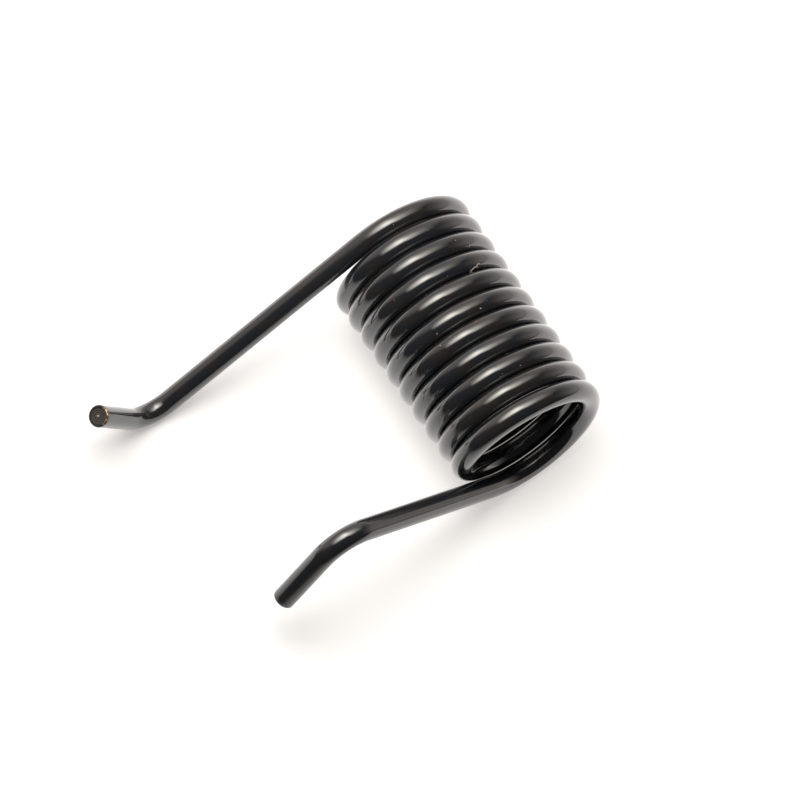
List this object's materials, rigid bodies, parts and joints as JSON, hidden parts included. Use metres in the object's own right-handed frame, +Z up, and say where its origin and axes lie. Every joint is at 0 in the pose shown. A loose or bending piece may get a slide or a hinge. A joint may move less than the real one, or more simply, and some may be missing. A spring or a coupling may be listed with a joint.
{
  "type": "torsion spring",
  "caption": "Close-wound torsion spring of round black-coated wire, with a leg at each end of the coil and each leg's tip bent into a short foot.",
  "frame": {"origin": "middle of the coil, on its axis", "axes": "+Y along the coil's axis from the front leg to the rear leg, +Z up from the surface that the spring lies on, both legs towards -X"},
  "size_m": [0.0614, 0.0382, 0.023],
  "materials": {
    "coated_wire": "gloss"
  },
  "bodies": {
    "root": {"torsion_spring": "coated_wire"}
  },
  "joints": []
}
